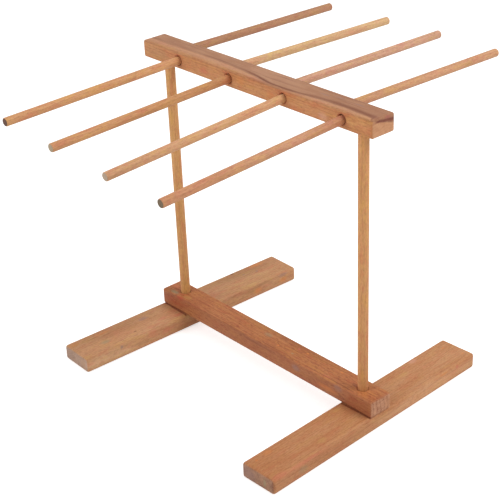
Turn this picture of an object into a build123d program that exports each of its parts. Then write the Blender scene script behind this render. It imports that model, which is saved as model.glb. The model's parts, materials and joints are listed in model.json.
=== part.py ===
from build123d import *
from math import atan, cos, sin
import os

# A beech pasta drying rack that comes apart for storage. Millimetres, +Z up, X along the bar.
# The origin lies on the surface that the rack stands on, under the middle of the bar.
# The front is -Y and the back is +Y.

# The bar and the rail are cut to one length
board_length = 305.0

# Top bar
bar_width = 27.0
bar_height = 17.0
bar_edge_round = 2.0

# Base rail, which lies across the feet
rail_width = 26.0
rail_height = 17.0
rail_edge_round = 1.3
rail_end_break = 0.8

# Feet, whose back ends stand a little closer together than their front ends
foot_length = 280.0
foot_width = 40.0
foot_thickness = 16.0
foot_edge_round = 3.0
foot_toe_in_degrees = 1.9

# Posts, loose dowels that stand in the rail and carry the bar
post_diameter = 10.0
post_inset = 22.5
post_clear_length = 260.5
post_socket_depth = 10.0
post_play = 0.3
post_end_break = 0.8

# Rods, loose dowels in blind sockets, four to a side and staggered from front to back
rods_per_side = 4
rod_diameter = 8.0
rod_length = 212.0
rod_stagger = 9.0
end_rod_to_post = 13.0
rod_tip_break = 0.7

# Rod sockets, bored wide, so that each rod hangs at its own small lean
socket_depth = 18.0
socket_play = 0.75
rod_seat_gap = 0.2
rod_end_gap = 0.6

# Each rod's droop and sideways swing, from the left, as shares of the most that its socket allows
front_lean_shares = ((0.30, 0.20), (0.60, -0.06), (0.80, 0.19), (0.78, 0.06))
back_lean_shares = ((0.28, -0.05), (0.08, 0.75), (0.02, 0.42), (0.20, 0.29))

# Countersunk wood screws that hold each foot to the rail, one each side of the post
screw_length = 26.0
screw_shank_diameter = 3.5
screw_head_diameter = 7.5
screw_point_length = 5.0
screw_head_sink = 0.5
screw_from_post = 12.0
screw_recess_length = 4.2
screw_recess_width = 0.9
screw_recess_depth = 1.6
screw_hole_play = 0.25
screw_pilot_play = 0.05
screw_pilot_spare = 1.5

# The broken edge round each bored mouth, and how far every cutter runs past the wood
mouth_break = 0.5
overrun = 2.0

# Heights and stations that follow from the sizes above
rail_base = foot_thickness
rail_top = rail_base + rail_height
bar_base = rail_top + post_clear_length
rod_level = bar_base + bar_height / 2
post_station = board_length / 2 - post_inset
post_length = rail_height + post_clear_length + post_socket_depth
foot_station = board_length / 2 - foot_width / 2
rod_spacing = 2 * (post_station - end_rod_to_post - rod_stagger) / (rods_per_side - 1)
rod_socket_diameter = rod_diameter + 2 * socket_play
post_hole_diameter = post_diameter + 2 * post_play
screw_radius = screw_shank_diameter / 2
screw_head_radius = screw_head_diameter / 2
greatest_lean = atan((socket_play - rod_seat_gap) / (socket_depth / 2))

left, right = -1, 1
front, back = -1, 1
quarter_turn = 90
on_base = (Align.CENTER, Align.CENTER, Align.MIN)


def rounded_board(length, width, height, edge_round):
    """A board that lies along X on its base, with all its edges rounded over."""
    blank = Box(length, width, height, align=on_base)
    return fillet(blank.edges(), edge_round)


def sawn_board(length, width, height, edge_round, end_break):
    """A board that lies along X on its base, rounded along its length and chamfered round its sawn ends."""
    blank = Box(length, width, height, align=on_base)
    blank = fillet(blank.edges().filter_by(Axis.X), edge_round)
    ends = blank.faces().filter_by(Axis.X)
    return chamfer(ends.edges(), end_break)


def dowel(diameter, length):
    """A round dowel that stands on its base, and its two rims from the bottom up."""
    stick = Cylinder(diameter / 2, length, align=on_base)
    return stick, stick.edges().filter_by(GeomType.CIRCLE).sort_by(Axis.Z)


def bored_hole(diameter, depth):
    """A cutter for a round hole with its floor at the base and a broken edge round its mouth."""
    bore = Cylinder(diameter / 2, depth + overrun, align=on_base)
    flare = mouth_break + overrun
    lip = Cone(diameter / 2, diameter / 2 + flare, flare, align=on_base)
    return bore + Pos(0, 0, depth - mouth_break) * lip


def rod_station(side, index):
    """Where a rod's socket is along the bar: the front row is shifted right, the back row left."""
    from_middle = (index - (rods_per_side - 1) / 2) * rod_spacing
    return from_middle - side * rod_stagger


def rod_placing(side, index):
    """The place of a rod's inner end, turned so that the rod leaves its socket at its own lean."""
    lean_shares = front_lean_shares if side == front else back_lean_shares
    droop_share, swing_share = lean_shares[index % len(lean_shares)]
    droop = droop_share * greatest_lean
    swing = swing_share * greatest_lean
    outward = Vector(sin(swing) * cos(droop), side * cos(swing) * cos(droop), -sin(droop))
    socket_middle = Vector(rod_station(side, index), side * (bar_width - socket_depth) / 2, rod_level)
    inner_end = socket_middle - outward * (socket_depth / 2 - rod_end_gap)
    return Plane(origin=inner_end, z_dir=outward).location


def rod(side, index):
    """One rod, in place: square where it stands in its socket and chamfered at its free end."""
    stick, rims = dowel(rod_diameter, rod_length)
    return rod_placing(side, index) * chamfer(rims[-1], rod_tip_break)


def rod_socket(side, index):
    """The cutter for one rod's socket, level and square to the bar."""
    floor = Pos(rod_station(side, index), side * (bar_width / 2 - socket_depth), rod_level)
    return floor * Rot(X=-side * quarter_turn) * bored_hole(rod_socket_diameter, socket_depth)


def post_socket(side):
    """The cutter for one post's socket, which opens in the bar's underside."""
    floor = Pos(side * post_station, 0, bar_base + post_socket_depth)
    return floor * Rot(X=2 * quarter_turn) * bored_hole(post_hole_diameter, post_socket_depth)


def top_bar():
    """The bar, bored from the front, the back and below."""
    bar = Pos(0, 0, bar_base) * rounded_board(board_length, bar_width, bar_height, bar_edge_round)
    for side in (left, right):
        bar -= post_socket(side)
    for side in (front, back):
        for index in range(rods_per_side):
            bar -= rod_socket(side, index)
    return bar


def post(side):
    """One post, which stands on the foot in the rail's hole and fills the bar's socket."""
    stick, rims = dowel(post_diameter, post_length)
    return Pos(side * post_station, 0, rail_base) * chamfer(rims, post_end_break)


def screw_places():
    """The four screws' stations, in pairs either side of each post."""
    return [
        Pos(side * post_station + offset, 0, screw_head_sink)
        for side in (left, right)
        for offset in (-screw_from_post, screw_from_post)
    ]


def turned(*profile):
    """A solid turned about the Z axis from a half outline."""
    outline = Polyline(*[(radius, 0, height) for radius, height in profile], close=True)
    return revolve(make_face(outline), Axis.Z)


def wood_screw():
    """A countersunk screw that points up from its head, with a cross recess."""
    head_height = screw_head_radius - screw_radius
    blank = turned(
        (0, 0),
        (screw_head_radius, 0),
        (screw_radius, head_height),
        (screw_radius, screw_length - screw_point_length),
        (0, screw_length),
    )
    arm = Box(screw_recess_length, screw_recess_width, 2 * screw_recess_depth)
    return blank - arm - Rot(Z=quarter_turn) * arm


def screw_hole():
    """A cutter for the countersunk way through a foot, from the level of the screw's head."""
    way_radius = screw_radius + screw_hole_play
    head_radius = screw_head_radius + screw_hole_play
    below = screw_head_sink + overrun
    return turned(
        (0, -below),
        (head_radius + below, -below),
        (way_radius, head_radius - way_radius),
        (way_radius, foot_thickness + overrun),
        (0, foot_thickness + overrun),
    )


def screw_pilot():
    """A cutter for the tight hole that a screw makes in the rail, from the level of the screw's head."""
    return Cylinder(screw_radius + screw_pilot_play, screw_length + screw_pilot_spare, align=on_base)


def base_rail():
    """The rail, with a way through for each post and the screws' pilot holes below."""
    rail = sawn_board(board_length, rail_width, rail_height, rail_edge_round, rail_end_break)
    rail = Pos(0, 0, rail_base) * rail
    for side in (left, right):
        under_rail = Pos(side * post_station, 0, rail_base - overrun)
        rail -= under_rail * bored_hole(post_hole_diameter, rail_height + overrun)
    for place in screw_places():
        rail -= place * screw_pilot()
    return rail


def foot(side):
    """One foot, which runs from front to back under an end of the rail."""
    across = Rot(Z=quarter_turn + side * foot_toe_in_degrees)
    plank = across * rounded_board(foot_length, foot_width, foot_thickness, foot_edge_round)
    plank = Pos(side * foot_station, 0, 0) * plank
    for place in screw_places():
        plank -= place * screw_hole()
    return plank


def foot_screws():
    """The four screws, as separate solids."""
    return Compound([place * wood_screw() for place in screw_places()])


def side_nodes():
    """Every piece that there is one of on each side, under its name."""
    nodes = {}
    for word, side in (("left", left), ("right", right)):
        nodes[f"foot_{word}"] = foot(side)
        nodes[f"post_{word}"] = post(side)
    for word, side in (("front", front), ("back", back)):
        for index in range(rods_per_side):
            nodes[f"rod_{word}_{index + 1}"] = rod(side, index)
    return nodes


nodes = {"top_bar": top_bar(), "base_rail": base_rail(), "foot_screws": foot_screws()}
nodes.update(side_nodes())

os.makedirs("parts", exist_ok=True)
for name, shape in nodes.items():
    export_step(shape, f"parts/{name}.step")
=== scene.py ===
"""The looks of a beech pasta drying rack: oiled boards, turned dowels and the steel screws under its feet."""
import json
from dataclasses import dataclass, field
from math import cos, radians, sin

import bpy
from mathutils import Matrix, Vector


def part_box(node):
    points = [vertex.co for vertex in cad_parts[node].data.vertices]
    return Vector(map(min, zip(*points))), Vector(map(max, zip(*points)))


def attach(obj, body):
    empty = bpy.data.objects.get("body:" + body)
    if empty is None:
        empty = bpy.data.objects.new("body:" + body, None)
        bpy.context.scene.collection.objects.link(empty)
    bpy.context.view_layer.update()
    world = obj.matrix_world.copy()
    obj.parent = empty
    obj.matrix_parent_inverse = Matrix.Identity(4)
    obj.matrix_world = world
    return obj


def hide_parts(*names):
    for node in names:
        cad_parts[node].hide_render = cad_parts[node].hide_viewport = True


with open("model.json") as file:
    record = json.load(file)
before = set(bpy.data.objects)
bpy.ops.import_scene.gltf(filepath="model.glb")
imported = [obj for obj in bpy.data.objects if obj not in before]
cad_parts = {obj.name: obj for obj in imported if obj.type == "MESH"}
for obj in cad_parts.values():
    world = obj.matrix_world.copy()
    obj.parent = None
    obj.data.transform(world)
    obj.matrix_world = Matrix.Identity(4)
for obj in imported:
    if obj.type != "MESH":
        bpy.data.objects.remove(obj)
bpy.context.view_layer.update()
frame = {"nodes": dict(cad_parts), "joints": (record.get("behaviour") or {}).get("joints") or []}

millimetre = 0.001
quarter_turn = radians(90)

# The view of the photograph, in degrees, and in metres from the point on the surface under the bar
camera_azimuth = 49.26
camera_elevation = 27.84
camera_roll = -2.44
camera_distance = 1.0979
camera_target = Vector((0.0914, -0.0980, 0.2016))
camera_lens = 93.46
camera_sensor = 36.0

# The feet's length and width in millimetres, and the turn in degrees by which each toes in at the back
foot_length = 280.0
foot_width = 40.0
foot_toe_in = 1.9

# The dowels' fineness, how far their rims are rounded over, and their flat ends
dowel_sides = 48
free_end_round = 1.2 * millimetre
seated_end_round = 0.3 * millimetre
post_end_round = 0.8 * millimetre
rim_segments = 4
end_inset = 0.2 * millimetre
flat_end_reach = 0.02 * millimetre
dowel_smooth_angle = radians(40)

# The countersunk screws under the feet
screw_from_post = 12 * millimetre
screw_head_radius = 3.75 * millimetre
screw_head_rim = 0.15 * millimetre
screw_neck_height = 2.0 * millimetre
screw_shank_radius = 1.72 * millimetre
screw_shank_length = 8.5 * millimetre
screw_shoulder = 0.4 * millimetre
screw_core_radius = 1.15 * millimetre
screw_point_length = 5 * millimetre
screw_tip_share = 0.06
screw_sides = 32
thread_pitch = 1.7 * millimetre
thread_steps = 24
thread_half_width = 0.42 * millimetre
thread_start_share = 0.7
thread_least_share = 0.02
recess_length = 4.2 * millimetre
recess_width = 0.9 * millimetre
recess_depth = 1.6 * millimetre
recess_taper_share = 0.45
screw_smooth_angle = radians(35)

# Corners of the frame's triangles that agree to this many places of a metre are one corner
corner_places = 7

# The pale floor's size in metres, its grey and its glow, and how strong the even light all round is
floor_size = 12.0
floor_grey = 0.84
floor_glow = 0.6
light_all_round = 0.58

# The point that the lamps face, and each lamp's place and size in metres and its power in watts
lamp_aim = Vector((0, 0, 0.15))
lamps = {
    "key": ((1.3, 0.9, 2.0), 1.2, 27.0),
    "fill": ((-0.6, -1.8, 1.3), 1.4, 14.0),
}

upwards = Vector((0, 0, 1))
along_bar = Vector((1, 0, 0))


def tone(red, green, blue):
    """A colour as it looks on screen, from 0 to 255, as a shader's linear colour, by the sRGB curve."""
    channels = []
    for value in (red, green, blue):
        share = value / 255
        channels.append(share / 12.92 if share <= 0.04045 else ((share + 0.055) / 1.055) ** 2.4)
    return (*channels, 1.0)


def tinted(colour, *tint):
    """A linear colour with each channel multiplied."""
    return (*(channel * factor for channel, factor in zip(colour, tint)), 1.0)


@dataclass
class Figure:
    """A figure that repeats in a finish: how long it is along each axis, its own seed and its detail."""
    lengths: tuple
    seed: float
    detail: float = 2.0
    rough: float = 0.5


# How far one seed moves a figure along each axis
seed_steps = (1.0, 0.37, -0.61)

# The figures of beech, in millimetres along the grain, across it and in depth
band_figure = Figure((60.0, 15.0, 15.0), 7.0, detail=3.0)
broad_mottle_figure = Figure((24.0, 7.0, 7.0), 9.0)
small_mottle_figure = Figure((7.0, 2.4, 2.4), 13.0)
fibre_figure = Figure((38.0, 0.9, 0.9), 11.0, detail=3.0, rough=0.6)
fine_fibre_figure = Figure((9.0, 0.25, 0.25), 17.0)
speckle_figure = Figure((3.4, 1.1, 1.1), 19.0, rough=0.6)
ray_fleck_figure = Figure((3.2, 0.42, 0.42), 23.0, detail=1.0)
ray_flake_figure = Figure((6.0, 0.9, 0.9), 29.0, detail=1.0)
end_pore_figure = Figure((0.6, 0.35, 0.35), 31.0)
end_cloud_figure = Figure((9.0, 6.0, 5.0), 37.0)

# The rays of a cut end, in radians round the pith and in millimetres out from it
end_ray_figure = Figure((1 / 90, 6.25, 1.0), 41.0)

# How the growth rings wander and ripple, and how far, in millimetres
ring_wander_figure = Figure((110.0, 60.0, 60.0), 0.0, detail=1.0)
ring_ripple_figure = Figure((34.0, 9.0, 9.0), 3.0)
ring_wander_reach = 7.0
ring_ripple_reach = 4.2

# Where a ring's late wood begins, is darkest and starts to end, as shares of the ring, and how dark the
# faintest ring is beside the darkest
late_begins_share = 0.45
late_darkest_share = 0.93
late_ends_share = 0.95
faintest_ring_share = 0.35

# The oiled surface: how rough it is, how much rougher its fibres and cut ends are, and its relief
oiled_roughness = 0.52
fibre_roughness = 0.1
end_roughness = 0.14
oiled_shine = 0.35
oiled_ior = 1.45
wood_relief_strength = 0.35
wood_relief_depth = 0.12 * millimetre

# How squarely a face meets the grain when it begins to show end grain, and when it shows nothing else
end_grain_begins = 0.62
end_grain_full = 0.9

# How strong a mark is between the fibres, and how much stronger on them
mark_least_share = 0.4
mark_fibre_share = 1.1

# The zinc plate: its figures in metres, its colours, how rough it is and its relief
zinc_cloud_figure = Figure((0.004, 0.004, 0.004), 1.0, detail=4.0)
zinc_grit_figure = Figure((0.0006, 0.0006, 0.0006), 5.0, detail=3.0)
zinc_pale = tone(200, 198, 190)
zinc_grey = tone(156, 152, 142)
zinc_dark = tone(120, 116, 108)
zinc_roughness = 0.22
zinc_cloud_roughness = 0.16
zinc_grit_roughness = 0.12
zinc_relief_strength = 0.2
zinc_relief_depth = 0.05 * millimetre


class Value:
    """One socket of a finish. Python's operators on it add Math nodes."""

    def __init__(self, finish, socket):
        self.finish = finish
        self.socket = socket

    def output(self, name):
        """Another output of the same node."""
        return Value(self.finish, self.socket.node.outputs[name])

    def math(self, operation, *others):
        """A Math node on this value and the others."""
        return self.finish.add("ShaderNodeMath", {"operation": operation}, dict(enumerate((self, *others))))

    def reflected(self, operation, other):
        """A Math node with this value as its second input."""
        return self.finish.add("ShaderNodeMath", {"operation": operation}, {0: other, 1: self})

    def __add__(self, other):
        return self.math("ADD", other)

    def __radd__(self, other):
        return self.reflected("ADD", other)

    def __sub__(self, other):
        return self.math("SUBTRACT", other)

    def __rsub__(self, other):
        return self.reflected("SUBTRACT", other)

    def __mul__(self, other):
        return self.math("MULTIPLY", other)

    def __rmul__(self, other):
        return self.reflected("MULTIPLY", other)

    def __truediv__(self, other):
        return self.math("DIVIDE", other)

    def __rtruediv__(self, other):
        return self.reflected("DIVIDE", other)

    def __abs__(self):
        return self.math("ABSOLUTE")


class Finish:
    """The nodes of a material or of the studio round the rack, and the one method that adds them."""

    def __init__(self, owner):
        owner.use_nodes = True
        self.owner = owner
        self.tree = owner.node_tree
        self.tree.nodes.clear()

    def add(self, kind, settings=None, sockets=None, output=0):
        """A node of this kind. Its settings come first, then the values or links of its sockets."""
        node = self.tree.nodes.new(kind)
        for name, setting in (settings or {}).items():
            if name == "points":
                self.set_points(node.mapping, setting)
            else:
                setattr(node, name, setting)
        for name, value in (sockets or {}).items():
            if isinstance(value, Value):
                self.tree.links.new(value.socket, node.inputs[name])
            else:
                node.inputs[name].default_value = value
        return Value(self, node.outputs[output]) if node.outputs else node

    def set_points(self, mapping, points):
        """Gives a float curve its points, from left to right."""
        curve = mapping.curves[0]
        while len(curve.points) < len(points):
            curve.points.new(0.5, 0.5)
        for point, place in zip(curve.points, points):
            point.location = place
        mapping.update()

    def step(self, value, low, high):
        """A smooth step from 0 at low to 1 at high, either way round."""
        ends = {"Value": value, "From Min": low, "From Max": high}
        return self.add("ShaderNodeMapRange", {"interpolation_type": "SMOOTHSTEP"}, ends)

    def band(self, value, middle, half_width):
        """A soft band that is 1 at its middle and 0 at half a width either side."""
        return self.step(abs(value - middle), half_width, 0.0)

    def blend(self, share, first, second, how="MIX"):
        """Two colours mixed by a share."""
        settings = {"data_type": "RGBA", "blend_type": how}
        return self.add("ShaderNodeMix", settings, {0: share, 6: first, 7: second}, output=2)

    def vector(self, operation, first, second=None, output=0):
        """Vector Math on a place and a second vector."""
        sockets = {0: first} if second is None else {0: first, 1: second}
        return self.add("ShaderNodeVectorMath", {"operation": operation}, sockets, output)

    def lay(self, colour, over, value, low, high, share):
        """A second colour laid over the first, by a share that grows as a value goes from low to high."""
        return self.blend(self.step(value, low, high) * share, colour, over)

    def noise(self, place, figure, seed=0.0):
        """Noise from 0 to 1 in the lengths of a figure, moved by the figure's own seed and a second one."""
        scaled = self.vector("MULTIPLY", place, tuple(1 / length for length in figure.lengths))
        moved = self.vector("ADD", scaled, tuple((seed + figure.seed) * step for step in seed_steps))
        sockets = {"Vector": moved, "Scale": 1.0, "Detail": figure.detail, "Roughness": figure.rough}
        return self.add("ShaderNodeTexNoise", {}, sockets)

    def spot(self, place, middle, lengths):
        """A soft oval round a middle, which fades out at these lengths from it."""
        away = self.vector("SUBTRACT", place, middle)
        away = self.vector("MULTIPLY", away, tuple(1 / length for length in lengths))
        return self.step(self.vector("LENGTH", away, output="Value"), 1.0, 0.25)

    def split(self, vector):
        """The three parts of a vector."""
        parts = self.add("ShaderNodeSeparateXYZ", {}, {0: vector})
        return parts, parts.output("Y"), parts.output("Z")

    def joined(self, first, second, third):
        """A vector of three values."""
        return self.add("ShaderNodeCombineXYZ", {}, {0: first, 1: second, 2: third})

    def cover(self, surface):
        """Gives the material its surface, with these values and links, and returns the material."""
        shader = self.add("ShaderNodeBsdfPrincipled", {}, surface)
        self.add("ShaderNodeOutputMaterial", {}, {"Surface": shader})
        return self.owner


@dataclass
class Place:
    """Where a piece of wood lies: its middle, the way its grain runs and which way is up across it."""
    middle: Vector
    grain: Vector
    up: Vector

    def turn(self):
        """The turn that lays X along the grain and Z towards up."""
        along = self.grain.normalized()
        across = self.up.cross(along).normalized()
        return Matrix((along, across, along.cross(across))).transposed().to_euler()


@dataclass
class Mark:
    """A mark in the wood: its middle and half lengths in millimetres, and its colour or tint."""
    middle: tuple
    lengths: tuple
    colour: tuple
    share: float = 0.5
    how: str = "MIX"


@dataclass
class Wood:
    """How one piece of beech looks. Lengths are in millimetres from the piece's middle."""
    light: tuple
    middle: tuple
    deep: tuple
    end_light: tuple
    end_deep: tuple
    seed: float
    pith: tuple
    ring_width: float = 2.6
    ring_share: float = 0.3
    end_ring_share: float = 0.15
    fleck_share: float = 0.6
    mottle_share: float = 0.6
    half_length: float = 150.0
    low_tint: tuple = (1.0, 1.0, 1.0, 1.0)
    high_tint: tuple = (1.0, 1.0, 1.0, 1.0)
    marks: list = field(default_factory=list)


def middle_of(node):
    """The middle of a node's box, in metres."""
    low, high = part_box(node)
    return (low + high) / 2


def half_size(node):
    """Half of a node's box along each axis, in millimetres."""
    low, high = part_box(node)
    return (high - low) / 2 / millimetre


def growth_rings(finish, local, look):
    """The share of dark late wood, how far out from the pith a place is, and the way round the pith."""
    across, depth = finish.split(local)[1:]
    wander = finish.noise(local, ring_wander_figure, look.seed)
    out_y = across - look.pith[0] + (wander - 0.5) * ring_wander_reach
    out_z = depth - look.pith[1]
    radius = (out_y * out_y + out_z * out_z).math("SQRT")
    ripple = finish.noise(local, ring_ripple_figure, look.seed)
    rings = (radius + (ripple - 0.5) * ring_ripple_reach) / look.ring_width
    ring = rings.math("FRACT")
    darkness = finish.add("ShaderNodeTexWhiteNoise", {"noise_dimensions": "1D"}, {"W": rings.math("FLOOR")})
    late = finish.step(ring, late_begins_share, late_darkest_share) * finish.step(ring, 1.0, late_ends_share)
    late = late * (faintest_ring_share + (1 - faintest_ring_share) * darkness)
    return late, radius, out_z.math("ARCTAN2", out_y)


def side_grain(finish, local, look, late, fibre, fine):
    """The colour along the grain: bands, fibres, pink and golden mottle, rings and ray flecks."""
    banding = finish.noise(local, band_figure, look.seed) * 0.62 + fibre * 0.38
    colour = finish.blend(finish.step(banding, 0.34, 0.66), look.light, look.middle)
    rosy = tinted(look.middle, 1.08, 0.86, 0.98)
    golden = tinted(look.light, 0.98, 1.0, 0.72)
    for figure, share in ((broad_mottle_figure, 1.0), (small_mottle_figure, 0.7)):
        mottle = finish.noise(local, figure, look.seed)
        colour = finish.lay(colour, rosy, mottle, 0.52, 0.7, look.mottle_share * share)
        colour = finish.lay(colour, golden, mottle, 0.48, 0.3, look.mottle_share * share)
    colour = finish.blend(late * look.ring_share, colour, look.deep)
    colour = finish.lay(colour, look.deep, fine, 0.45, 0.8, 0.3)
    speckle = finish.noise(local, speckle_figure, look.seed)
    colour = finish.lay(colour, look.deep, speckle, 0.5, 0.72, 0.32)
    colour = finish.lay(colour, tinted(look.light, 1.1, 1.1, 1.1), speckle, 0.48, 0.28, 0.35)
    fleck = finish.step(finish.noise(local, ray_fleck_figure, look.seed), 0.62, 0.72)
    flake = finish.step(finish.noise(local, ray_flake_figure, look.seed), 0.62, 0.74)
    return finish.blend((fleck * 0.5 + flake * 0.4) * look.fleck_share, colour, look.deep), fleck


def end_grain(finish, local, look, late, radius, around):
    """The colour of a cut end: pores, faint rings and pale rays that run out from the pith."""
    pores = finish.noise(local, end_pore_figure, look.seed)
    cloud = finish.noise(local, end_cloud_figure, look.seed)
    shade = finish.step(pores * 0.45 + cloud * 0.55 + late * look.end_ring_share, 0.36, 0.8)
    colour = finish.blend(shade, look.end_light, look.end_deep)
    rays = finish.noise(finish.joined(around, radius, 0.0), end_ray_figure, look.seed)
    colour = finish.lay(colour, tinted(look.end_light, 1.12, 1.12, 1.14), rays, 0.52, 0.7, 0.4)
    return finish.lay(colour, tinted(look.end_deep, 0.86, 0.84, 0.84), rays, 0.48, 0.3, 0.35), pores


def wood(name, place, look, more=None):
    """Beech with growth rings, fibres, ray flecks and pores, and its end grain where the ends are cut."""
    finish = Finish(bpy.data.materials.new(name))
    here = finish.add("ShaderNodeTexCoord", output="Object")
    turn = place.turn()
    lying = {"Vector": here, "Location": place.middle, "Rotation": turn, "Scale": (millimetre,) * 3}
    local = finish.add("ShaderNodeMapping", {"vector_type": "TEXTURE"}, lying)
    facing = {"Vector": here.output("Normal"), "Rotation": turn}
    facing = finish.add("ShaderNodeMapping", {"vector_type": "TEXTURE"}, facing)

    late, radius, around = growth_rings(finish, local, look)
    fibre = finish.noise(local, fibre_figure, look.seed)
    fine = finish.noise(local, fine_fibre_figure, look.seed)
    side, fleck = side_grain(finish, local, look, late, fibre, fine)
    lengthwise = finish.step(finish.split(local)[0], -look.half_length, look.half_length)
    side = finish.blend(1.0, side, finish.blend(lengthwise, look.low_tint, look.high_tint), "MULTIPLY")
    end, pores = end_grain(finish, local, look, late, radius, around)
    is_end = finish.step(abs(finish.split(facing)[0]), end_grain_begins, end_grain_full)
    colour = finish.blend(is_end, side, end)
    if more:
        colour = more(finish, colour, local, fibre)
    for mark in look.marks:
        streaky = mark_least_share + mark_fibre_share * fibre
        spot = finish.spot(local, mark.middle, mark.lengths) * streaky
        colour = finish.blend(spot * mark.share, colour, mark.colour, mark.how)

    grain_height = fibre * 0.5 + fine * 0.35 - fleck * 0.5 - late * 0.25
    end_height = pores * 0.8 - late * 0.3
    height = grain_height + (end_height - grain_height) * is_end
    bump = {"Strength": wood_relief_strength, "Distance": wood_relief_depth, "Height": height}
    roughness = oiled_roughness + fibre_roughness * fine + fibre_roughness * fibre + end_roughness * is_end
    return finish.cover({
        "Base Color": colour,
        "Roughness": roughness,
        "Normal": finish.add("ShaderNodeBump", {}, bump),
        "IOR": oiled_ior,
        "Specular IOR Level": oiled_shine,
    })


def steel(name):
    """Zinc plating, cloudy and a little warm in tone, with darker grit."""
    finish = Finish(bpy.data.materials.new(name))
    here = finish.add("ShaderNodeTexCoord", output="Object")
    cloud = finish.noise(here, zinc_cloud_figure)
    grit = finish.noise(here, zinc_grit_figure)
    colour = finish.blend(cloud, zinc_pale, zinc_grey)
    colour = finish.lay(colour, zinc_dark, grit, 0.55, 0.75, 0.5)
    bump = {"Strength": zinc_relief_strength, "Distance": zinc_relief_depth, "Height": grit}
    return finish.cover({
        "Base Color": colour,
        "Roughness": zinc_roughness + zinc_cloud_roughness * cloud + zinc_grit_roughness * grit,
        "Metallic": 1.0,
        "Normal": finish.add("ShaderNodeBump", {}, bump),
    })


def paint(node, material):
    """Gives a node its material in every slot."""
    slots = frame["nodes"][node].data.materials
    for index in range(len(slots)):
        slots[index] = material
    if not slots:
        slots.append(material)


# The colours of the streaks and spots in the boards
orange = tone(212, 128, 66)
pink_red = tone(198, 108, 84)
brown = tone(120, 72, 46)
dark_red = tone(110, 50, 32)
grey_green = tone(146, 138, 106)
purple_grey = tone(142, 112, 108)
yellow_green = tone(196, 160, 92)
pale_pink = tone(214, 160, 136)
maroon = tone(104, 40, 38)
rose = tone(176, 84, 92)
tan = tone(186, 130, 92)
tan_orange = tone(196, 128, 66)
pale_tan = tone(204, 162, 128)
mauve_grey = tone(150, 122, 110)
brick_red = tone(176, 72, 48)
red_brown = tone(170, 104, 70)
plum_brown = tone(140, 88, 66)
# The brown of the painted shadow where the rail stands on the feet
contact_shadow_brown = tone(118, 52, 26)

# Where the boards' top faces, near edges and near ends are, in millimetres from their middles, and how
# far from the rail's middle the feet begin under it
foot_face = half_size("foot_left").z
foot_edge = -foot_width / 2
foot_front = -foot_length / 2
foot_inside = abs(middle_of("foot_left").x) / millimetre - foot_width / 2
rail_half = half_size("base_rail")
rail_face = rail_half.z
rail_edge = -rail_half.y
bar_half = half_size("top_bar")
bar_face = bar_half.z
bar_edge = -bar_half.y
rail_end = rail_half.x
bar_end = bar_half.x

# The half lengths of the marks that repeat, along the grain, across it and in depth
streak = (9.0, 1.1, 4.0)
long_streak = (18.0, 1.0, 4.0)
dot = (2.6, 1.5, 3.0)
patch = (8.0, 4.0, 5.0)


def wash(middle, lengths, factors):
    """A mark that lightens or darkens the wood, channel by channel."""
    return Mark(middle, lengths, (*factors, 1.0), 1.0, "MULTIPLY")


# The painted shadow on each foot where the rail's front stands on it
rail_contact_shadow = Mark((rail_edge - 0.3, 0.0, foot_face), (2.0, 60.0, 1.5), contact_shadow_brown, 0.8)

foot_left_marks = [
    wash((-90, -10.0, foot_face), (80.0, 14.0, 5.0), (1.12, 1.13, 1.16)),
    wash((-85, 13.0, foot_face), (80.0, 16.0, 5.0), (0.9, 0.91, 0.88)),
    wash((85, 13.0, foot_face), (72.0, 16.0, 5.0), (0.84, 0.87, 0.83)),
    wash((95, -11.0, foot_face), (66.0, 15.0, 5.0), (1.07, 1.16, 1.16)),
    wash((-118, foot_edge, 0.0), (56.0, 5.0, 9.0), (1.24, 1.4, 1.55)),
    wash((-70, foot_edge, 0.0), (34.0, 5.0, 9.0), (1.16, 1.2, 1.18)),
    rail_contact_shadow,
    Mark((-113, 10.0, foot_face), streak, brown, 0.3),
    Mark((-97, 6.6, foot_face), streak, brown, 0.3),
    Mark((-100, 12.0, foot_face), (14.0, 3.0, 4.0), orange, 0.35),
    Mark((-106, -4.5, foot_face), patch, grey_green),
    Mark((-72, -8.6, foot_face), dot, brown, 0.7),
    Mark((-51, 6.6, foot_face), patch, purple_grey),
    Mark((-133, 13.0, foot_face), (9.0, 6.0, 4.0), tan_orange, 0.4),
    Mark((foot_front, -14.0, 0.0), (3.0, 9.0, 9.0), pale_tan, 0.35),
    Mark((foot_front, 12.0, 0.0), (3.0, 10.0, 9.0), mauve_grey, 0.3),
    Mark((-36, -7.2, foot_face), patch, pink_red, 0.4),
    Mark((-19, -12.3, foot_face), patch, pink_red, 0.4),
    Mark((-58, foot_edge, 6.0), patch, pink_red, 0.4),
    Mark((-97, foot_edge, 4.9), dot, purple_grey, 0.7),
    Mark((-73, foot_edge, -0.3), long_streak, brown, 0.2),
    Mark((-40, foot_edge, 1.4), patch, pink_red, 0.4),
    Mark((103, 2.8, foot_face), dot, purple_grey, 0.7),
    Mark((87, 6.7, foot_face), dot, purple_grey, 0.6),
    Mark((78, 16.8, foot_face), (3.5, 2.4, 3.0), brown, 0.8),
    Mark((112, 14.5, foot_face), (15.0, 5.0, 5.0), orange, 0.5),
    Mark((92, foot_edge, 6.8), long_streak, brown, 0.3),
    Mark((76, foot_edge, 3.0), long_streak, brown, 0.2),
    Mark((55, foot_edge, 6.8), long_streak, brown, 0.2),
    Mark((85, foot_edge, -0.5), patch, orange, 0.5),
    Mark((122, foot_edge, -0.8), patch, orange, 0.5),
    Mark((122, foot_edge, 6.1), streak, purple_grey),
]

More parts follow.
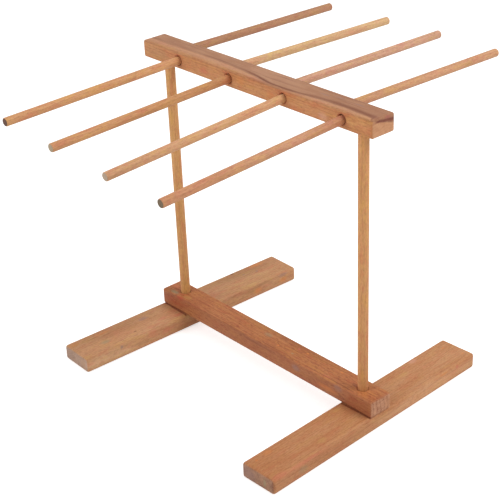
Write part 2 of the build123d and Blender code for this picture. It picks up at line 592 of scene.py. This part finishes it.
foot_right_marks = [
    # Painted light on the back half of the foot's outer side
    wash((70, foot_edge, 0.0), (90.0, 5.0, 9.0), (1.2, 1.3, 1.42)),
    rail_contact_shadow,
    Mark((-114, 13.4, foot_face), patch, orange, 0.4),
    Mark((-129, 12.1, foot_face), dot, orange),
    Mark((-68, -9.5, foot_face), patch, yellow_green, 0.3),
    Mark((-24, 12.4, foot_face), patch, yellow_green, 0.3),
    Mark((-35, 12.7, foot_face), dot, yellow_green, 0.35),
    Mark((-100, foot_edge, foot_face), (44.0, 3.0, 4.0), pink_red, 0.45),
    Mark((-103, foot_edge, 0.4), patch, grey_green, 0.3),
    Mark((72, 14.1, foot_face), dot, pink_red, 0.7),
    Mark((87, 15.0, foot_face), patch, pale_pink, 0.5),
    Mark((64, 6.2, foot_face), patch, yellow_green, 0.25),
    Mark((132, -11.5, foot_face), dot, orange),
    Mark((126, 8.5, foot_face), dot, orange),
    Mark((92, foot_edge, 7.0), streak, orange, 0.4),
    Mark((113, foot_edge, 5.0), dot, pink_red, 0.6),
    Mark((foot_front, 12.0, 0.0), (4.0, 14.0, 9.0), purple_grey, 0.45),
    Mark((foot_front, -9.0, 0.4), (4.0, 2.5, 6.0), grey_green, 0.6),
    Mark((foot_front, -18.8, 0.5), (4.0, 2.2, 8.0), dark_red, 0.35),
    Mark((-130, -18.0, foot_face), (12.0, 5.0, 4.0), pink_red, 0.4),
    Mark((foot_front, 3.7, foot_face), (3.0, 3.0, 2.2), brown, 0.4),
    Mark((foot_front, -12.5, foot_face), (2.5, 6.0, 2.0), brown, 0.5),
]

rail_marks = [
    wash((25, 10.0, rail_face), (90.0, 7.0, 3.0), (0.86, 0.9, 0.9)),
    wash((132, -4.0, rail_face), (24.0, 14.0, 3.0), (1.18, 1.2, 1.2)),
    # A painted highlight along the rail's rounded front-top edge towards its right end
    wash((85, rail_edge, rail_face), (75.0, 2.4, 2.4), (1.2, 1.22, 1.22)),
    wash((-134, rail_edge, 0.0), (22.0, 3.0, 9.0), (1.0, 0.88, 0.86)),
    Mark((0, rail_edge, 4.5), (34.0, 2.0, 1.8), dark_red, 0.45),
    Mark((51, 5.5, rail_face), dot, orange, 0.7),
    Mark((98, 4.9, rail_face), dot, orange, 0.7),
    Mark((19, -4.2, rail_face), dot, orange, 0.7),
    Mark((-2, 2.3, rail_face), patch, grey_green, 0.4),
    Mark((40, -4.9, rail_face), dot, grey_green, 0.5),
    Mark((39, 5.5, rail_face), dot, pink_red, 0.7),
    Mark((93, -9.5, rail_face), streak, pink_red, 0.6),
    Mark((15, -11.0, rail_face), long_streak, dark_red, 0.7),
    Mark((123, -1.2, rail_face), patch, dark_red, 0.3),
    Mark((136, 4.0, rail_face), patch, dark_red, 0.15),
    Mark((-147, 0.2, rail_face), patch, pink_red, 0.35),
    Mark((-137, -9.0, rail_face), patch, grey_green, 0.6),
    Mark((-124, rail_edge, rail_face), patch, brick_red, 0.6),
    Mark((-128, 4.2, rail_face), dot, pink_red, 0.6),
    Mark((-118, -7.4, rail_face), patch, yellow_green, 0.3),
    Mark((rail_end, 4.0, rail_face), (2.5, 12.0, 3.2), red_brown, 0.5),
    Mark((rail_end, 10.0, -1.0), (3.0, 7.0, 9.0), tan, 0.5),
    Mark((53, rail_edge, 1.4), patch, purple_grey, 0.5),
    Mark((96, rail_edge, -1.8), long_streak, orange, 0.5),
    Mark((110, rail_edge, 5.0), patch, purple_grey, 0.4),
]

bar_marks = [
    wash((132, bar_edge, 2.0), (32.0, 3.0, 8.0), (1.14, 1.28, 1.34)),
    # A painted highlight along the bar's rounded front-top edge in its right half
    wash((108, bar_edge, bar_face), (48.0, 2.8, 2.8), (1.12, 1.2, 1.26)),
    wash((22, bar_edge, bar_face), (40.0, 2.8, 2.8), (0.86, 0.84, 0.84)),
    wash((-132, bar_edge, 0.0), (28.0, 3.0, 9.0), (0.9, 0.97, 1.06)),
    Mark((-46, 7.9, bar_face), streak, purple_grey, 0.6),
    Mark((82, 2.3, bar_face), streak, purple_grey, 0.6),
    Mark((97, 5.7, bar_face), streak, purple_grey, 0.6),
    Mark((121, 4.9, bar_face), streak, purple_grey, 0.6),
    Mark((-61, bar_edge, -1.4), patch, pink_red, 0.35),
    Mark((-10, bar_edge, 2.0), patch, orange, 0.3),
    Mark((95, bar_edge, -3.0), patch, pale_pink, 0.5),
    Mark((30, bar_edge, -2.0), patch, orange, 0.3),
    Mark((bar_end - 4.0, -6.0, bar_face), (7.0, 5.0, 3.0), plum_brown, 0.5),
    Mark((bar_end, -5.0, 5.6), (3.0, 8.0, 1.8), maroon, 0.75),
    Mark((bar_end, 2.5, 4.6), (3.0, 8.0, 2.0), maroon, 0.7),
    Mark((bar_end, 9.5, 3.6), (3.0, 6.5, 2.4), maroon, 0.7),
    Mark((bar_end, 4.8, 6.8), (3.0, 5.0, 2.0), rose, 0.35),
]

# The dark seam on the bar's top, from the left end, as shares of the bar's length and width
seam_shares = ((0.0, 0.42), (0.37, 0.43), (0.44, 0.38), (0.5, 0.3), (0.545, 0.2), (0.59, 0.11), (0.65, 0.09),
               (0.7, 0.13), (0.76, 0.24), (0.845, 0.32), (0.93, 0.3), (1.0, 0.24))

# How dark the seam is, from the left end, as shares of the bar's length and of its full darkness
seam_dark_shares = ((0.0, 0.3), (0.36, 0.34), (0.46, 0.6), (0.55, 1.0), (0.66, 0.95), (0.75, 0.6),
                    (0.84, 0.8), (1.0, 0.85))

# How far back the seam runs for each millimetre down, how far it wavers and frays, how much nearer the
# front it is on the cut end, and half its width and what that gains at the right, in millimetres
seam_dive = 3.3
seam_waver_figure = Figure((16.0, 4.0, 4.0), 51.0)
seam_waver_reach = 1.8
seam_fray = 1.2
seam_end_shift = 7.0
seam_half_width = 2.8
seam_spread = 1.9
seam_brown = tone(120, 68, 42)

# How far below the bar's top its cooler tint, a painted sheen, begins and is full, in millimetres, and where
# the bar's cut end begins and is full, as shares of its length
top_sheen_tint = (0.86, 0.92, 1.04, 1.0)
top_sheen_depths = (2.5, 0.5)
cut_end_shares = (0.985, 0.995)

# Where the heart, and the front and back of the pale strip before it, begin and are full, in millimetres
# behind the seam
heart_edge = (-3.6, -2.2)
strip_front = (-10.0, -5.5)
strip_back = (-2.4, -3.8)
strip_pale = tone(202, 152, 124)

# The heart's clouds, its paler middle, its dark streaks and its browner right, in millimetres
heart_cloud_figure = Figure((18.0, 6.0, 6.0), 61.0)
heart_streak_figure = Figure((70.0, 2.0, 3.0), 57.0, detail=3.0)
heart_tan = tone(160, 112, 82)
heart_mauve = tone(172, 126, 95)
heart_pale = tone(180, 134, 106)
heart_dark = tone(126, 80, 60)
heart_brown = tone(146, 94, 70)

# The rods' sockets: their depth and radius, how far out their rim reaches, and how far out the painted shade
# round their mouths is darkest and half its width, in millimetres, and how much less a step into the bar
# counts than one outwards
socket_depth = 18.0
socket_radius = 4.75
socket_rim = 0.3
mouth_shade_out = 0.2
mouth_shade_half_width = 1.9
socket_depth_share = 0.4
# The red of the painted shade round the sockets' mouths, and the pale pink painted in their bores as light
# against their shade
mouth_shade_red = tone(164, 90, 64)
bore_painted_light = tone(250, 168, 128)


def behind_seam(finish, local, fibre, share, at_end):
    """How far behind the bar's seam a place is, in millimetres."""
    across, depth = finish.split(local)[1:]
    seam = finish.add("ShaderNodeFloatCurve", {"points": seam_shares}, {"Value": share})
    seam = seam * (2 * bar_half.y) - bar_half.y
    waver = (finish.noise(local, seam_waver_figure) - 0.5) * seam_waver_reach
    fray = (fibre - 0.5) * seam_fray
    return across - seam + (depth - bar_face) * seam_dive + waver + fray + at_end * seam_end_shift


def heart_colour(finish, local, share):
    """The mauve of the bar's heart, cloudy and streaked, paler at the middle and browner at the right."""
    cloud = finish.noise(local, heart_cloud_figure)
    colour = finish.blend(finish.step(cloud, 0.35, 0.65), heart_tan, heart_mauve)
    colour = finish.blend(finish.band(share, 0.55, 0.17) * 0.6, colour, heart_pale)
    colour = finish.lay(colour, heart_dark, finish.noise(local, heart_streak_figure), 0.5, 0.68, 0.6)
    return finish.lay(colour, heart_brown, share, 0.6, 0.95, 0.4)


def bar_heart(finish, colour, local, fibre):
    """The bar's mauve heart, which shows on top behind a dark seam and dives towards the back."""
    along, _, depth = finish.split(local)
    share = along / (2 * bar_half.x) + 0.5
    at_end = finish.step(share, *cut_end_shares)
    on_top = finish.step(depth, *(bar_face - below for below in top_sheen_depths)) * (1 - at_end)
    behind = behind_seam(finish, local, fibre, share, at_end)
    # A painted sheen cools the top face
    colour = finish.blend(on_top, colour, finish.blend(1.0, colour, top_sheen_tint, "MULTIPLY"))
    strip = finish.step(behind, *strip_front) * finish.step(behind, *strip_back) * on_top
    colour = finish.blend(strip * 0.3, colour, strip_pale)
    colour = finish.lay(colour, heart_colour(finish, local, share), behind, *heart_edge, 0.85)
    darkness = finish.add("ShaderNodeFloatCurve", {"points": seam_dark_shares}, {"Value": share})
    half_width = seam_half_width + seam_spread * finish.step(share, 0.7, 0.85)
    dark = finish.step(abs(behind) / half_width, 1.0, 0.0) * darkness * (0.75 + 0.5 * fibre)
    return finish.blend(dark * (1 - at_end), colour, seam_brown)


def rod_pulls():
    """The way that each rod pulls out of its socket."""
    pulls = {joint["child"]: Vector(joint["axis"]).normalized() for joint in frame["joints"]}
    return {node: pulls[node] for node in dowel_looks if node.startswith("rod_")}


def socket_mouths():
    """The middle of each rod socket's mouth, in millimetres from the bar's middle."""
    mouths = []
    for node, pull in rod_pulls().items():
        start = (measured(node, pull)[0] - middle_of("top_bar")) / millimetre
        side = 1 if pull.y > 0 else -1
        crossing = start + pull * ((side * (bar_half.y - socket_depth / 2) - start.y) / pull.y)
        mouths.append((crossing.x, side * bar_half.y, crossing.z))
    return mouths


def bar_details(finish, colour, local, fibre):
    """The bar's heart, with painted shade round the mouths of its sockets and painted light in their bores.
    """
    colour = bar_heart(finish, colour, local, fibre)
    for mouth in socket_mouths():
        away = finish.vector("SUBTRACT", local, mouth)
        away = finish.vector("MULTIPLY", away, (1.0, socket_depth_share, 1.0))
        distance = finish.vector("LENGTH", away, output="Value")
        # A painted shade round the mouth, and painted light inside the bore
        mouth_shade = finish.band(distance, socket_radius + mouth_shade_out, mouth_shade_half_width)
        colour = finish.blend(mouth_shade * 0.55, colour, mouth_shade_red)
        inside = finish.step(distance, socket_radius + socket_rim, socket_radius)
        colour = finish.blend(inside, colour, bore_painted_light)
    return colour


# How far in from its front the rail begins to be redder and is fully so, in millimetres
rail_front_depths = (1.2, 0.2)
rail_front_red = tone(140, 84, 66)

# The painted shadow low on the rail's front over the feet: where it begins and is full, up from the feet and
# out from the rail's middle, in millimetres
contact_shadow_heights = (2.4, 0.6)
contact_shadow_places = (foot_inside - 4.5, foot_inside + 0.5)

# The line beside the rail's front edge: how far in it runs, how it wavers and half its width, in millimetres
rail_line_inset = 2.4
rail_line_waver_figure = Figure((40.0, 12.0, 12.0), 71.0)
rail_line_waver_reach = 1.6
rail_line_half_width = 0.8

# The small dark specks in the rail
rail_speck_figure = Figure((5.0, 1.5, 1.5), 77.0, detail=1.0)


def rail_lines(finish, colour, local, fibre):
    """The rail's redder front, its painted shadow over the feet, its specks and the line beside its front
    edge.
    """
    along, across, depth = finish.split(local)
    front = finish.step(across, *(rail_edge + inwards for inwards in rail_front_depths))
    low_down = finish.step(depth, *(height - rail_face for height in contact_shadow_heights))
    # A painted shadow low on the rail's front, where it stands on the feet
    contact_shadow = finish.step(abs(along), *contact_shadow_places) * low_down * front
    colour = finish.blend(contact_shadow * 0.9, colour, contact_shadow_brown)
    colour = finish.blend(front * 0.25, colour, rail_front_red)
    waver = (finish.noise(local, rail_line_waver_figure) - 0.5) * rail_line_waver_reach
    line = finish.band(across + waver, rail_edge + rail_line_inset, rail_line_half_width)
    colour = finish.blend(line * finish.step(fibre, 0.3, 0.6) * 0.45, colour, dark_red)
    return finish.lay(colour, dark_red, finish.noise(local, rail_speck_figure), 0.58, 0.7, 0.4)


foot_left = Wood(
    light=tone(196, 148, 108), middle=tone(186, 130, 89), deep=tone(136, 84, 54),
    end_light=tone(182, 150, 130), end_deep=tone(150, 118, 98),
    seed=2.0, pith=(78.0, -30.0), marks=foot_left_marks)
# The right foot is painted darker at its front and lighter and cooler at its back, as painted light from
# behind
foot_right = Wood(
    light=tone(194, 140, 98), middle=tone(182, 120, 76), deep=tone(132, 76, 44),
    end_light=tone(172, 129, 102), end_deep=tone(126, 89, 70),
    seed=9.0, pith=(-60.0, 34.0), mottle_share=0.4, low_tint=(0.95, 0.93, 0.91, 1.0),
    high_tint=(1.08, 1.15, 1.2, 1.0), marks=foot_right_marks)
rail = Wood(
    light=tone(187, 122, 76), middle=tone(168, 99, 56), deep=tone(112, 54, 32),
    end_light=tone(194, 142, 109), end_deep=tone(152, 99, 71),
    seed=15.0, pith=(-70.0, -10.0), ring_width=4.4, end_ring_share=0.22, marks=rail_marks)
bar = Wood(
    light=tone(206, 146, 98), middle=tone(192, 126, 78), deep=tone(134, 78, 50),
    end_light=tone(206, 152, 112), end_deep=tone(180, 122, 86),
    seed=21.0, pith=(6.0, -60.0), marks=bar_marks)

# The tint that changes nothing
even = (1.0, 1.0, 1.0)

# Each dowel's colour, the tint of its seated or lower end, and the colour of its cut end
dowel_looks = {
    "rod_front_1": ((207, 153, 107), even, (100, 72, 60)),
    "rod_front_2": ((205, 151, 106), (0.84, 0.78, 0.68), (172, 154, 128)),
    "rod_front_3": ((205, 156, 116), (1.06, 1.08, 1.04), (182, 160, 138)),
    "rod_front_4": ((201, 144, 106), (0.88, 0.83, 0.86), (116, 100, 80)),
    "rod_back_1": ((180, 132, 100), even, (160, 124, 98)),
    "rod_back_2": ((213, 173, 129), even, (168, 132, 104)),
    "rod_back_3": ((205, 158, 129), even, (168, 132, 104)),
    "rod_back_4": ((203, 152, 114), even, (168, 132, 104)),
    # The posts are painted darker towards the rail, painted shade that leaves their tops lighter
    "post_left": ((210, 157, 101), (0.94, 0.92, 0.92), (164, 128, 104)),
    "post_right": ((218, 161, 107), (0.86, 0.83, 0.82), (164, 128, 104)),
}

# The one rod that is lighter along its middle
dowel_marks = {
    "rod_front_4": [wash((-12, 0.0, 0.0), (78.0, 40.0, 40.0), (1.12, 1.26, 1.36))],
}

# How a dowel's light, middle and deep wood differ from its colour, how strong its mottle is, where its
# pith lies in millimetres, and the seed of its own piece of wood
dowel_light_tint = (1.1, 1.12, 1.14)
dowel_middle_tint = (0.92, 0.88, 0.84)
dowel_deep_tint = (0.5, 0.42, 0.36)
dowel_mottle_share = 0.85
dowel_pith = (38.0, -9.0)
first_dowel_seed = 33.0
dowel_seed_step = 5


def dowel_wood(node, length):
    """A dowel's own piece of beech, a little lighter and darker than its colour."""
    colour, low_tint, end_colour = dowel_looks[node]
    base = tone(*colour)
    end = tone(*end_colour)
    return Wood(
        light=tinted(base, *dowel_light_tint), middle=tinted(base, *dowel_middle_tint),
        deep=tinted(base, *dowel_deep_tint),
        end_light=tinted(end, 1.1, 1.1, 1.1), end_deep=tinted(end, 0.8, 0.8, 0.8),
        seed=first_dowel_seed + dowel_seed_step * list(dowel_looks).index(node), pith=dowel_pith,
        mottle_share=dowel_mottle_share, half_length=length / 2 / millimetre, low_tint=(*low_tint, 1.0),
        marks=dowel_marks.get(node, []))


def paint_boards():
    """The bar, the rail and the two feet."""
    for node, name, look, details in (
        ("top_bar", "beech_bar", bar, bar_details),
        ("base_rail", "beech_rail", rail, rail_lines),
    ):
        paint(node, wood(name, Place(middle_of(node), along_bar, upwards), look, details))
    for node, look, side in (("foot_left", foot_left, -1), ("foot_right", foot_right, 1)):
        turn = side * radians(foot_toe_in)
        grain = Vector((-sin(turn), cos(turn), 0))
        paint(node, wood(f"beech_{node}", Place(middle_of(node), grain, upwards), look))


def choose(piece):
    """Makes this piece the only one selected."""
    bpy.ops.object.select_all(action="DESELECT")
    piece.select_set(True)
    bpy.context.view_layer.objects.active = piece


def choose_where(piece, kind, wanted):
    """Goes into edit mode with the piece's faces or edges selected whose middle is wanted."""
    choose(piece)
    mesh = piece.data
    bpy.ops.object.mode_set(mode="EDIT")
    bpy.ops.mesh.select_mode(type=kind)
    bpy.ops.mesh.select_all(action="DESELECT")
    bpy.ops.object.mode_set(mode="OBJECT")
    for element in mesh.polygons if kind == "FACE" else mesh.edges:
        corners = [mesh.vertices[index].co for index in element.vertices]
        element.select = wanted(sum(corners, Vector()) / len(corners))
    bpy.ops.object.mode_set(mode="EDIT")


def shaped(name):
    """The primitive just added, with its name and its place in its mesh."""
    piece = bpy.context.object
    piece.name = piece.data.name = name
    bpy.ops.object.transform_apply(location=True, rotation=True, scale=True)
    return piece


def placed(piece, place):
    """The same piece, moved to its place in its mesh."""
    piece.matrix_world = place
    choose(piece)
    bpy.ops.object.transform_apply(location=True, rotation=True, scale=True)
    return piece


def copied(piece, name, place):
    """A copy with its own mesh, moved to its place."""
    copy = piece.copy()
    copy.data = piece.data.copy()
    copy.name = copy.data.name = name
    bpy.context.scene.collection.objects.link(copy)
    return placed(copy, place)


def dowel(name, radius, length, low_round, high_round):
    """A dowel centred on the origin along Z, rounded over at both its rims."""
    bpy.ops.object.select_all(action="DESELECT")
    bpy.ops.mesh.primitive_cylinder_add(vertices=dowel_sides, radius=radius, depth=length)
    stick = shaped(name)
    for end, rounding in ((-1, low_round), (1, high_round)):
        choose_where(stick, "EDGE", lambda middle: middle.z * end > length / 2 - end_inset)
        bpy.ops.mesh.bevel(offset=rounding, segments=rim_segments, profile=0.5)
        bpy.ops.object.mode_set(mode="OBJECT")
        choose_where(stick, "FACE", lambda middle: middle.z * end > length / 2 - flat_end_reach)
        bpy.ops.mesh.inset(thickness=end_inset)
        bpy.ops.object.mode_set(mode="OBJECT")
    bpy.ops.object.shade_smooth_by_angle(angle=dowel_smooth_angle)
    return stick


def measured(node, axis):
    """The middle, length and radius of a round node about its axis."""
    vertices = frame["nodes"][node].data.vertices
    corners = {tuple(round(value, corner_places) for value in vertex.co) for vertex in vertices}
    corners = [Vector(corner) for corner in corners]
    middle = sum(corners, Vector()) / len(corners)
    reaches = [(corner - middle).dot(axis) for corner in corners]
    middle = middle + axis * (max(reaches) + min(reaches)) / 2
    out = [corner - middle for corner in corners]
    return middle, max(reaches) - min(reaches), max((away - axis * away.dot(axis)).length for away in out)


def set_in_place(piece, body, slot, material, *nodes):
    """Gives a new piece its material and the body it rides on, and hides the nodes it stands for. Its slot is
    not used.
    """
    piece.data.materials.clear()
    piece.data.materials.append(material)
    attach(piece, body)
    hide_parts(*nodes)


def add_rods():
    """The eight rods, as finer dowels than their nodes."""
    pulls = rod_pulls()
    length, radius = measured("rod_front_1", pulls["rod_front_1"])[1:]
    pattern = dowel("rod_pattern", radius, length, seated_end_round, free_end_round)
    for node, pull in pulls.items():
        middle, length, _ = measured(node, pull)
        place = Matrix.Translation(middle) @ upwards.rotation_difference(pull).to_matrix().to_4x4()
        finish = wood(f"beech_{node}", Place(middle, pull, upwards), dowel_wood(node, length))
        set_in_place(copied(pattern, f"{node}_turned", place), node, "rod_wood", finish, node)
    bpy.data.objects.remove(pattern)


def add_posts():
    """The two posts, as finer dowels than their nodes."""
    for node in ("post_left", "post_right"):
        middle, length, radius = measured(node, upwards)
        stick = dowel(f"{node}_turned", radius, length, post_end_round, post_end_round)
        finish = wood(f"beech_{node}", Place(middle, upwards, along_bar), dowel_wood(node, length))
        set_in_place(placed(stick, Matrix.Translation(middle)), node, "post_wood", finish, node)


def screw_blank(length):
    """The head, neck, shank, core and point, drawn up from a disc one stretch after another."""
    bpy.ops.object.select_all(action="DESELECT")
    bpy.ops.mesh.primitive_circle_add(vertices=screw_sides, radius=screw_head_radius, fill_type="NGON")
    blank = shaped("screw_pattern")
    neck_top = screw_head_rim + screw_neck_height
    core_start = neck_top + screw_shank_length + screw_shoulder
    stretches = (
        (screw_head_rim, screw_head_radius, screw_head_radius),
        (screw_neck_height, screw_head_radius, screw_shank_radius),
        (screw_shank_length, screw_shank_radius, screw_shank_radius),
        (screw_shoulder, screw_shank_radius, screw_core_radius),
        (length - core_start - screw_point_length, screw_core_radius, screw_core_radius),
        (screw_point_length, screw_core_radius, screw_core_radius * screw_tip_share),
    )
    choose_where(blank, "FACE", lambda middle: True)
    for rise, before, after in stretches:
        bpy.ops.mesh.extrude_region_move(TRANSFORM_OT_translate={"value": (0, 0, rise)})
        bpy.ops.transform.resize(value=(after / before, after / before, 1), center_override=(0, 0, 0))
    bpy.ops.mesh.select_all(action="SELECT")
    bpy.ops.mesh.normals_make_consistent(inside=False)
    bpy.ops.object.mode_set(mode="OBJECT")
    return blank, core_start


def screw_thread(start, length):
    """A ridge wound round the core, which runs down to nothing at the point and at the shank."""
    bpy.ops.object.select_all(action="DESELECT")
    bpy.ops.mesh.primitive_circle_add(
        vertices=3, radius=thread_half_width * 2 / 3 ** 0.5, fill_type="NOTHING",
        location=(screw_core_radius, 0, start), rotation=(quarter_turn, quarter_turn, 0))
    ridge = shaped("thread_pattern")
    winding = ridge.modifiers.new("winding", "SCREW")
    winding.screw_offset = thread_pitch
    winding.iterations = int((length - start) / thread_pitch)
    winding.steps = winding.render_steps = thread_steps
    choose(ridge)
    bpy.ops.object.modifier_apply(modifier=winding.name)
    for vertex in ridge.data.vertices:
        to_point = (length - vertex.co.z) / screw_point_length
        from_shank = thread_start_share + (1 - thread_start_share) * (vertex.co.z - start) / thread_pitch
        share = max(thread_least_share, min(1, to_point, from_shank))
        vertex.co.x *= share
        vertex.co.y *= share
    bpy.ops.object.mode_set(mode="EDIT")
    bpy.ops.mesh.select_all(action="SELECT")
    bpy.ops.mesh.fill_holes(sides=3)
    bpy.ops.mesh.normals_make_consistent(inside=False)
    bpy.ops.object.mode_set(mode="OBJECT")
    return ridge


def recess_arm(turn):
    """One arm of the cross that the driver fits, shorter at its floor."""
    bpy.ops.object.select_all(action="DESELECT")
    bpy.ops.mesh.primitive_cube_add(size=1, scale=(recess_length, recess_width, 2 * recess_depth))
    arm = shaped("recess_cutter")
    choose_where(arm, "FACE", lambda middle: middle.z > recess_depth / 2)
    bpy.ops.transform.resize(value=(recess_taper_share, 1, 1))
    bpy.ops.object.mode_set(mode="OBJECT")
    return placed(arm, Matrix.Rotation(turn, 4, "Z"))


def add_screws():
    """The four countersunk screws, in pairs either side of each post."""
    low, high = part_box("foot_screws")
    length = high.z - low.z
    screw, core_start = screw_blank(length)
    for turn in (0, quarter_turn):
        cutter = recess_arm(turn)
        cut = screw.modifiers.new("recess", "BOOLEAN")
        cut.object = cutter
        cut.solver = "EXACT"
        choose(screw)
        bpy.ops.object.modifier_apply(modifier=cut.name)
        bpy.data.objects.remove(cutter)
    ridge = screw_thread(core_start, length)
    choose(screw)
    ridge.select_set(True)
    bpy.ops.object.join()
    bpy.ops.object.shade_smooth_by_angle(angle=screw_smooth_angle)
    zinc = steel("zinc_plate")
    paint("foot_screws", zinc)
    number = 0
    for node in ("post_left", "post_right"):
        for offset in (-screw_from_post, screw_from_post):
            number += 1
            place = Matrix.Translation((middle_of(node).x + offset, 0, low.z))
            set_in_place(copied(screw, f"screw_{number}", place), "base", "screw_steel", zinc, "foot_screws")
    bpy.data.objects.remove(screw)


def seen_directly(finish):
    """1 for what the camera sees straight, in a reflection or through glass, and 0 for light on the rack."""
    path = finish.add("ShaderNodeLightPath", output="Is Camera Ray")
    reflected = path.math("MAXIMUM", path.output("Is Glossy Ray"))
    return reflected.math("MAXIMUM", path.output("Is Transmission Ray"))


def add_floor():
    """A pale floor that reads white to the camera and keeps a faint shadow."""
    bpy.ops.object.select_all(action="DESELECT")
    bpy.ops.mesh.primitive_plane_add(size=floor_size, location=(0, 0, 0))
    floor = bpy.context.object
    floor.name = "floor"
    finish = Finish(bpy.data.materials.new("floor_white"))
    matt = finish.add("ShaderNodeBsdfDiffuse", {}, {"Color": (floor_grey, floor_grey, floor_grey, 1)})
    strength = seen_directly(finish) * floor_glow
    glow = finish.add("ShaderNodeEmission", {}, {"Color": (1, 1, 1, 1), "Strength": strength})
    both = finish.add("ShaderNodeAddShader", {}, {0: matt, 1: glow})
    finish.add("ShaderNodeOutputMaterial", {}, {"Surface": both})
    floor.data.materials.append(finish.owner)


def add_area_light(name, place, size, power):
    """A square soft light that faces the middle of the rack."""
    data = bpy.data.lights.new(name, "AREA")
    data.shape = "SQUARE"
    data.size = size
    data.energy = power
    lamp = bpy.data.objects.new(name, data)
    lamp.location = place
    aim = lamp_aim - Vector(place)
    lamp.rotation_euler = aim.to_track_quat("-Z", "Y").to_euler()
    bpy.context.scene.collection.objects.link(lamp)


def add_world(strength):
    """Even light from all round, seen as white by the camera and in reflections."""
    world = bpy.data.worlds.new("studio")
    bpy.context.scene.world = world
    finish = Finish(world)
    ambient = finish.add("ShaderNodeBackground", {}, {"Color": (1, 1, 1, 1), "Strength": strength})
    white = finish.add("ShaderNodeBackground", {}, {"Color": (1, 1, 1, 1), "Strength": 1.0})
    both = finish.add("ShaderNodeMixShader", {}, {0: seen_directly(finish), 1: ambient, 2: white})
    finish.add("ShaderNodeOutputWorld", {}, {"Surface": both})


def add_camera():
    """The camera at the photograph's place, turned a little about its own axis."""
    turn, rise = radians(camera_azimuth), radians(camera_elevation)
    back = Vector((sin(turn) * cos(rise), -cos(turn) * cos(rise), sin(rise)))
    right = Vector((cos(turn), sin(turn), 0))
    level = Matrix((right, back.cross(right), back)).transposed()
    rolled = level @ Matrix.Rotation(radians(camera_roll), 3, "Z")
    data = bpy.data.cameras.new("photo_view")
    data.sensor_width = camera_sensor
    data.lens = camera_lens
    camera = bpy.data.objects.new("photo_view", data)
    camera.matrix_world = Matrix.Translation(camera_target + back * camera_distance) @ rolled.to_4x4()
    bpy.context.scene.collection.objects.link(camera)
    bpy.context.scene.camera = camera


paint_boards()
add_rods()
add_posts()
add_screws()
add_floor()
add_world(light_all_round)
for name, (place, size, power) in lamps.items():
    add_area_light(name, place, size, power)
add_camera()
bpy.context.scene.view_settings.view_transform = "Standard"
